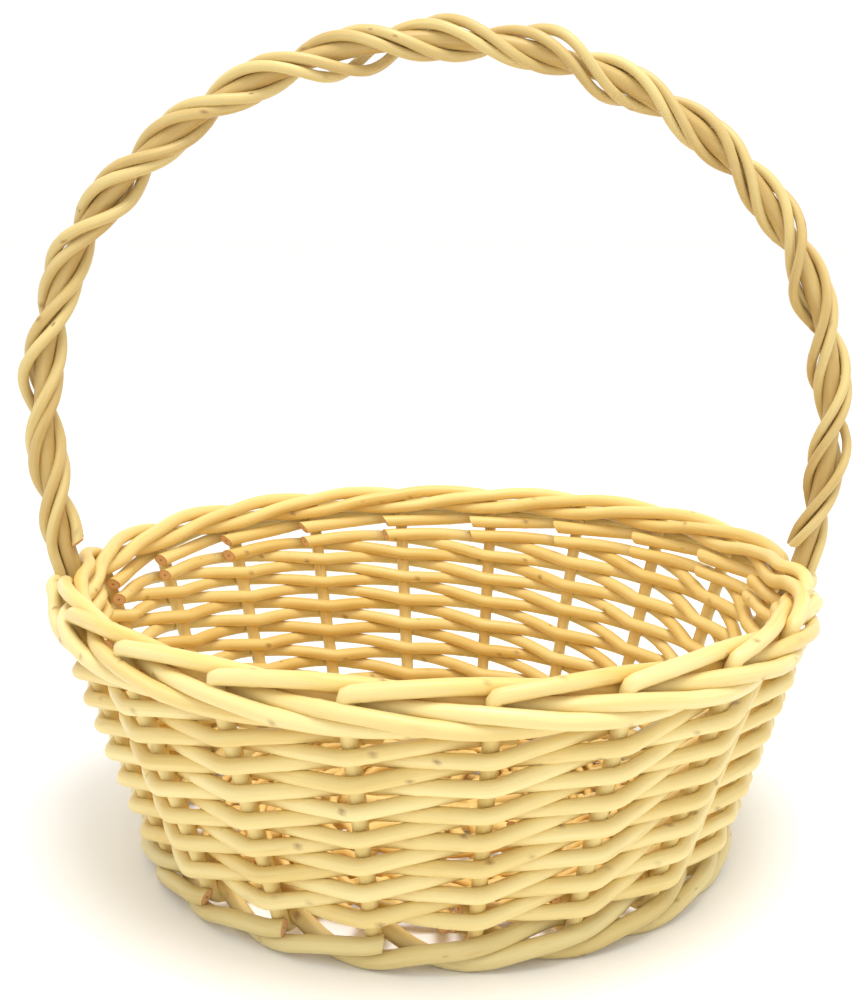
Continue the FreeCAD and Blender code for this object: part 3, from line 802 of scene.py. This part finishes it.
def peeled_willow_group():
    """Colour, roughness and relief of a peeled rod: long grain, blotches, specks, buds."""
    tree, given, result = open_tree(
        "peeled willow",
        "ShaderNodeTree",
        [
            ("Pale", "NodeSocketColor", (*PALE, 1)),
            ("Straw", "NodeSocketColor", (*STRAW, 1)),
            ("Tan", "NodeSocketColor", (*TAN, 1)),
            # painted shade for wood inside the basket, standing in for light bounced between the
            # rods
            ("Painted Inside Shade", "NodeSocketColor", INSIDE_BOUNCE_SHADE),
            ("Blotches", "NodeSocketFloat", 0.5),
            ("Specks", "NodeSocketFloat", 0.5),
            ("Gloss", "NodeSocketFloat", 0.5),
        ],
        [
            ("Colour", "NodeSocketColor"),
            ("Roughness", "NodeSocketFloat"),
            ("Relief", "NodeSocketFloat"),
        ],
    )
    grain = attribute(tree, "grain", "Vector")
    tone = attribute(tree, "tone", "Fac")
    lot = attribute(tree, "lot", "Fac")
    bud = attribute(tree, "bud", "Fac")
    inner = attribute(tree, "inner", "Fac")

    def pattern(across, along, detail, shift):
        """Noise stretched along the rod."""
        stretched = vector_maths(tree, "MULTIPLY", grain, (across, across, along))
        return add_node(
            tree,
            "ShaderNodeTexNoise",
            {
                "Vector": stretched,
                "W": maths(tree, "ADD", lot, shift),
                "Scale": 1.0,
                "Detail": detail,
                "Roughness": 0.55,
            },
            noise_dimensions="4D",
        ).outputs[0]

    def from_middle(value):
        return maths(tree, "SUBTRACT", value, 0.5)

    fibres = pattern(*FIBRES)
    streaks = pattern(*STREAKS)
    blotches = pattern(*BLOTCHES)
    stains = pattern(*STAINS)

    # pale to straw by grain, blotch and the rod's own tone
    tint = maths(tree, "MULTIPLY_ADD", from_middle(streaks), STREAK_TINT, TINT_START)
    tint = maths(tree, "MULTIPLY_ADD", from_middle(fibres), FIBRE_TINT, tint)
    spread = maths(tree, "MULTIPLY", from_middle(blotches), BLOTCH_TINT)
    tint = maths(tree, "MULTIPLY_ADD", spread, given["Blotches"], tint)
    tint = maths(tree, "MULTIPLY_ADD", tone, TONE_TINT, tint)
    tint = add_node(tree, "ShaderNodeClamp", {"Value": tint}).outputs[0]
    colour = mix_colour(tree, tint, given["Pale"], given["Straw"])

    stain = ramp(tree, stains, 0.60, 0.78, 0.0, 0.55)
    stain = maths(tree, "MULTIPLY", stain, given["Blotches"])
    colour = mix_colour(tree, stain, colour, given["Tan"])

    # a few small dark specks, and the scars of the buds
    speck_place = vector_maths(tree, "MULTIPLY", grain, SPECK_CELLS)
    speck_shift = maths(tree, "MULTIPLY", lot, SPECK_STEP)
    speck_shift = add_node(tree, "ShaderNodeCombineXYZ", {"Z": speck_shift}).outputs[0]
    speck_place = vector_maths(tree, "ADD", speck_place, speck_shift)
    speck_cell = add_node(
        tree, "ShaderNodeTexVoronoi", {"Vector": speck_place, "Scale": 1.0}, feature="F1"
    ).outputs
    chosen = add_node(tree, "ShaderNodeSeparateColor", {"Color": speck_cell["Color"]}).outputs[0]
    speck = ramp(tree, speck_cell["Distance"], 0.06, 0.17, 1.0, 0.0)
    speck = maths(tree, "MULTIPLY", speck, ramp(tree, chosen, 0.86, 0.90, 0.0, 1.0))
    speck = maths(tree, "MULTIPLY", speck, given["Specks"])
    speck = maths(tree, "MAXIMUM", speck, maths(tree, "MULTIPLY", bud, 0.75))
    colour = mix_colour(tree, speck, colour, SPECK_BROWN)
    # painted shade: wood inside the basket is darkened and warmed, standing in for light bounced
    # between the rods
    shaded_inside = mix_colour(tree, 1.0, colour, given["Painted Inside Shade"], "MULTIPLY")
    colour = mix_colour(tree, inner, colour, shaded_inside)

    rough = maths(tree, "MULTIPLY_ADD", fibres, 0.22, 0.36)
    rough = maths(tree, "SUBTRACT", rough, maths(tree, "MULTIPLY", given["Gloss"], 0.12))
    relief = maths(tree, "MULTIPLY_ADD", streaks, 0.6, fibres)
    relief = maths(tree, "SUBTRACT", relief, maths(tree, "MULTIPLY", speck, 0.8))
    tree.links.new(colour, result["Colour"])
    tree.links.new(rough, result["Roughness"])
    tree.links.new(relief, result["Relief"])
    return tree


def new_material(name):
    """A material, its tree and its Principled shader."""
    material = bpy.data.materials.new(name)
    material.use_nodes = True
    tree = material.node_tree
    return material, tree, tree.nodes["Principled BSDF"]


def willow_material(name, pale, straw, blotches, specks, gloss):
    """One finish of peeled willow."""
    material, tree, shader = new_material(name)
    look = add_node(tree, "ShaderNodeGroup", node_tree=WILLOW)
    for label, value in (("Pale", pale), ("Straw", straw)):
        look.inputs[label].default_value = (*value, 1)
    for label, value in (("Blotches", blotches), ("Specks", specks), ("Gloss", gloss)):
        look.inputs[label].default_value = value
    tree.links.new(look.outputs["Colour"], shader.inputs["Base Color"])
    tree.links.new(look.outputs["Roughness"], shader.inputs["Roughness"])
    bump = add_node(
        tree,
        "ShaderNodeBump",
        {"Height": look.outputs["Relief"], "Strength": 0.35, "Distance": 0.0003},
    )
    tree.links.new(bump.outputs["Normal"], shader.inputs["Normal"])
    shader.inputs["Specular IOR Level"].default_value = 0.35
    return material


CUT_DARK = (0.66, 0.36, 0.15, 1)
CUT_PALE = (0.82, 0.55, 0.28, 1)
CUT_RIM = (0.58, 0.27, 0.09, 1)
PITH = (0.30, 0.14, 0.06, 1)


def cut_wood_material():
    """A freshly cut end: orange-brown rim, paler wood, and a dark pith."""
    material, tree, shader = new_material("cut willow end")
    spoke = attribute(tree, "spoke", "Vector")
    out = vector_maths(tree, "LENGTH", spoke)
    rings = add_node(
        tree,
        "ShaderNodeTexNoise",
        {"Vector": vector_maths(tree, "SCALE", spoke, 4.0), "Scale": 1.0, "Detail": 3.0},
    ).outputs[0]
    wood = mix_colour(tree, rings, CUT_DARK, CUT_PALE)
    wood = mix_colour(tree, ramp(tree, out, 0.72, 0.98, 0.0, 1.0), wood, CUT_RIM)
    wood = mix_colour(tree, ramp(tree, out, 0.10, 0.22, 1.0, 0.0), wood, PITH)
    tree.links.new(wood, shader.inputs["Base Color"])
    rough = maths(tree, "MULTIPLY_ADD", rings, 0.2, 0.65)
    tree.links.new(rough, shader.inputs["Roughness"])
    bump = add_node(tree, "ShaderNodeBump", {"Height": rings, "Strength": 0.5, "Distance": 0.0004})
    tree.links.new(bump.outputs["Normal"], shader.inputs["Normal"])
    return material


ROD_TREE = willow_rod_tree()
WILLOW = peeled_willow_group()
CUT_WOOD = cut_wood_material()

# Each finish's name, its two main colours, and its blotches, specks and gloss.
LOOKS = {
    "weaver_willow": ("peeled weaver willow", PALE, STRAW, 0.45, 0.5, 0.5),
    "stake_willow": ("peeled stake willow", PALE, STRAW, 0.40, 0.3, 0.9),
    # the foot wale's colours are darker than the side's: painted shade of the foot low by the
    # floor
    "wale_willow": ("peeled wale willow", (0.70, 0.58, 0.27), (0.58, 0.43, 0.15), 0.7, 0.6, 0.5),
    "bow_willow": ("peeled bow willow", (0.62, 0.47, 0.18), (0.48, 0.31, 0.10), 0.6, 0.7, 0.6),
    "rope_willow": ("peeled roping willow", (0.68, 0.53, 0.22), (0.50, 0.33, 0.11), 0.7, 0.7, 0.8),
    "base_willow": ("peeled base willow", (0.80, 0.64, 0.29), (0.68, 0.46, 0.16), 0.6, 0.6, 0.4),
}
FINISHES = {slot: willow_material(*look) for slot, look in LOOKS.items()}

# --------------------------------------------------------------------- making the rods

RING_SPACING = 2.2        # between a rod's rings of skin
WOBBLE = 0.25             # a rod in the weave is held; the handle's rods wobble more
HANDLE_WOBBLE = 0.5
THIN_SIDES = 12
BUD_SPACING = (26.0, 44.0)
MAKING = []


def lay_rod(node, slot, points, butt, tip, wobble=WOBBLE, sides=16, takes_inside_shade=1.0):
    """Puts a rod's path into a line object with the rod tree on it.

    A point comes alone or with its own bending radius. The last argument is 1 for a rod that takes
    the painted warm shade where it lies inside the basket.
    """
    chance = random.Random(node)
    path = [point if isinstance(point, tuple) else (point, WIDE_BEND) for point in points]
    mesh = bpy.data.meshes.new(node + "_line")
    places = [uneven(point) * MM for point, _bend in path]
    mesh.from_pydata(places, [(n, n + 1) for n in range(len(path) - 1)], [])
    bends = mesh.attributes.new("bend", "FLOAT", "POINT")
    bends.data.foreach_set("value", [bend * MM for _point, bend in path])
    line = bpy.data.objects.new(node + "_line", mesh)
    bpy.context.scene.collection.objects.link(line)
    growth = line.modifiers.new("rod", "NODES")
    growth.node_group = ROD_TREE
    thick = chance.uniform(0.95, 1.05)
    values = {
        "Butt Radius": butt / 2 * thick * MM,
        "Tip Radius": tip / 2 * thick * MM,
        "Ring Spacing": RING_SPACING * MM,
        "Sides": sides,
        "Wobble": wobble * MM,
        "Slant": chance.uniform(0.2, 0.7),
        "Takes Inside Shade": takes_inside_shade,
        "Tone": chance.uniform(-1.0, 1.0),
        "Seed": chance.uniform(0.0, 60.0),
        "Bud Spacing": chance.uniform(*BUD_SPACING) * MM,
        "Skin": FINISHES[slot],
        "Cut Wood": CUT_WOOD,
    }
    for item in ROD_TREE.interface.items_tree:
        if item.item_type == "SOCKET" and item.in_out == "INPUT" and item.name in values:
            growth[item.identifier] = values[item.name]
    MAKING.append((node, slot, line))


def finish_rods():
    """Turns every line into a plain mesh that rides with the basket."""
    bpy.context.view_layer.update()
    graph = bpy.context.evaluated_depsgraph_get()
    for node, slot, line in MAKING:
        mesh = bpy.data.meshes.new_from_object(line.evaluated_get(graph), depsgraph=graph)
        mesh.name = node + "_rod"
        rod = bpy.data.objects.new(node + "_rod", mesh)
        bpy.context.scene.collection.objects.link(rod)
        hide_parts(node)
        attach(rod, "root")
    for _node, _slot, line in MAKING:
        bare = line.data
        bpy.data.objects.remove(line)
        bpy.data.meshes.remove(bare)


# A rod's two thicknesses are its butt's and its tip's, near the CAD rod's one thickness.


def make_base():
    for order in range(-STICK_SPREAD, STICK_SPREAD + 1):
        number = order + STICK_SPREAD + 1
        for name, across in (("through_stick_%d", False), ("slit_stick_%d", True)):
            lay_rod(name % number, "base_willow", stick_path(order, across), STICK, STICK - 0.4)
    for number, side in ((1, 1), (2, -1)):
        name = "base_weaver_%d" % number
        sizes = (BASE_WEAVER, BASE_WEAVER - 0.4)
        lay_rod(name, "base_willow", base_weaver_path(side), *sizes, sides=THIN_SIDES)


def make_stakes():
    for number in range(STAKES):
        name = "stake_%02d" % (number + 1)
        lay_rod(name, "stake_willow", stake_path(number), STAKE + 0.1, STAKE + 0.1)


def make_weavers():
    for number in range(STAKES):
        name = "weaver_%02d" % (number + 1)
        lay_rod(name, "weaver_willow", weaver_path(number), WEAVER + 0.4, WEAVER + 0.2)


def make_wale():
    for number, (first, last) in enumerate(WALE_SPANS, start=1):
        name = "foot_wale_rod_%d" % number
        lay_rod(name, "wale_willow", wale_path(first, last), WALE + 0.5, WALE + 0.2)


def make_handle():
    # the handle's rods wobble more and take no painted shade inside the basket
    outdoors = {"wobble": HANDLE_WOBBLE, "takes_inside_shade": 0.0}
    lay_rod("handle_bow", "bow_willow", bow_path(), BOW, BOW, **outdoors)
    for number in range(1, 2 * ROPE_PAIRS + 1):
        name = "handle_rope_%d" % number
        sizes = (ROPE + 0.5, ROPE - 0.6)
        lay_rod(name, "rope_willow", rope_path(number), *sizes, sides=THIN_SIDES, **outdoors)


make_base()
make_stakes()
make_weavers()
make_wale()
make_handle()
finish_rods()

# ------------------------------------------------------------------ floor, light, camera


FLOOR_HALF = 6.0
FLOOR_COLOUR = (0.96, 0.955, 0.945, 1)


def make_floor():
    """A wide pale floor."""
    material, _tree, shader = new_material("pale studio floor")
    shader.inputs["Base Color"].default_value = FLOOR_COLOUR
    shader.inputs["Roughness"].default_value = 0.7
    shader.inputs["Specular IOR Level"].default_value = 0.2
    mesh = bpy.data.meshes.new("studio_floor")
    sides = ((-1, -1), (1, -1), (1, 1), (-1, 1))
    corners = [(x * FLOOR_HALF, y * FLOOR_HALF, 0) for x, y in sides]
    mesh.from_pydata(corners, [], [(0, 1, 2, 3)])
    mesh.materials.append(material)
    floor = bpy.data.objects.new("studio_floor", mesh)
    bpy.context.scene.collection.objects.link(floor)


ROOM_LIGHT = 1.05
SOFTBOX_PLACE = Vector((0.15, -0.35, 1.5))
SOFTBOX_AIM = Vector((0, 0, 0.1))
SOFTBOX_WIDTH = 0.8
SOFTBOX_WATTS = 14.0
SOFTBOX_COLOUR = (1.0, 0.99, 0.96)


def make_softbox():
    """One large round softbox above the basket, a little to the front right."""
    data = bpy.data.lights.new("top_softbox", "AREA")
    data.shape = "DISK"
    data.size = SOFTBOX_WIDTH
    data.energy = SOFTBOX_WATTS
    data.color = SOFTBOX_COLOUR
    light = bpy.data.objects.new("top_softbox", data)
    light.location = SOFTBOX_PLACE
    light.rotation_euler = (SOFTBOX_AIM - SOFTBOX_PLACE).to_track_quat("-Z", "Y").to_euler()
    bpy.context.scene.collection.objects.link(light)


def make_studio():
    """A white room, evenly lit, with its softbox."""
    world = bpy.data.worlds.new("white studio")
    world.use_nodes = True
    background = world.node_tree.nodes["Background"]
    background.inputs["Color"].default_value = (1.0, 1.0, 1.0, 1)
    background.inputs["Strength"].default_value = ROOM_LIGHT
    bpy.context.scene.world = world
    make_softbox()
    bpy.context.scene.view_settings.view_transform = "Standard"


LENS = 52.5               # millimetres, on a sensor this wide
SENSOR_WIDTH = 36.0
CAMERA_HEIGHT_ANGLE = math.radians(12.6)
CAMERA_DISTANCE = 0.620
CAMERA_TARGET = Vector((0.0, 0.0, 0.149))
CAMERA_PAN = math.radians(0.29)


def make_camera():
    """Looks at the front from a little above, turned by a touch."""
    data = bpy.data.cameras.new("camera")
    data.lens = LENS
    data.sensor_width = SENSOR_WIDTH
    camera = bpy.data.objects.new("camera", data)
    back = Vector((0, -math.cos(CAMERA_HEIGHT_ANGLE), math.sin(CAMERA_HEIGHT_ANGLE)))
    camera.location = CAMERA_TARGET + back * CAMERA_DISTANCE
    camera.rotation_euler = (math.pi / 2 - CAMERA_HEIGHT_ANGLE, 0, CAMERA_PAN)
    bpy.context.scene.collection.objects.link(camera)
    bpy.context.scene.camera = camera


make_floor()
make_studio()
make_camera()
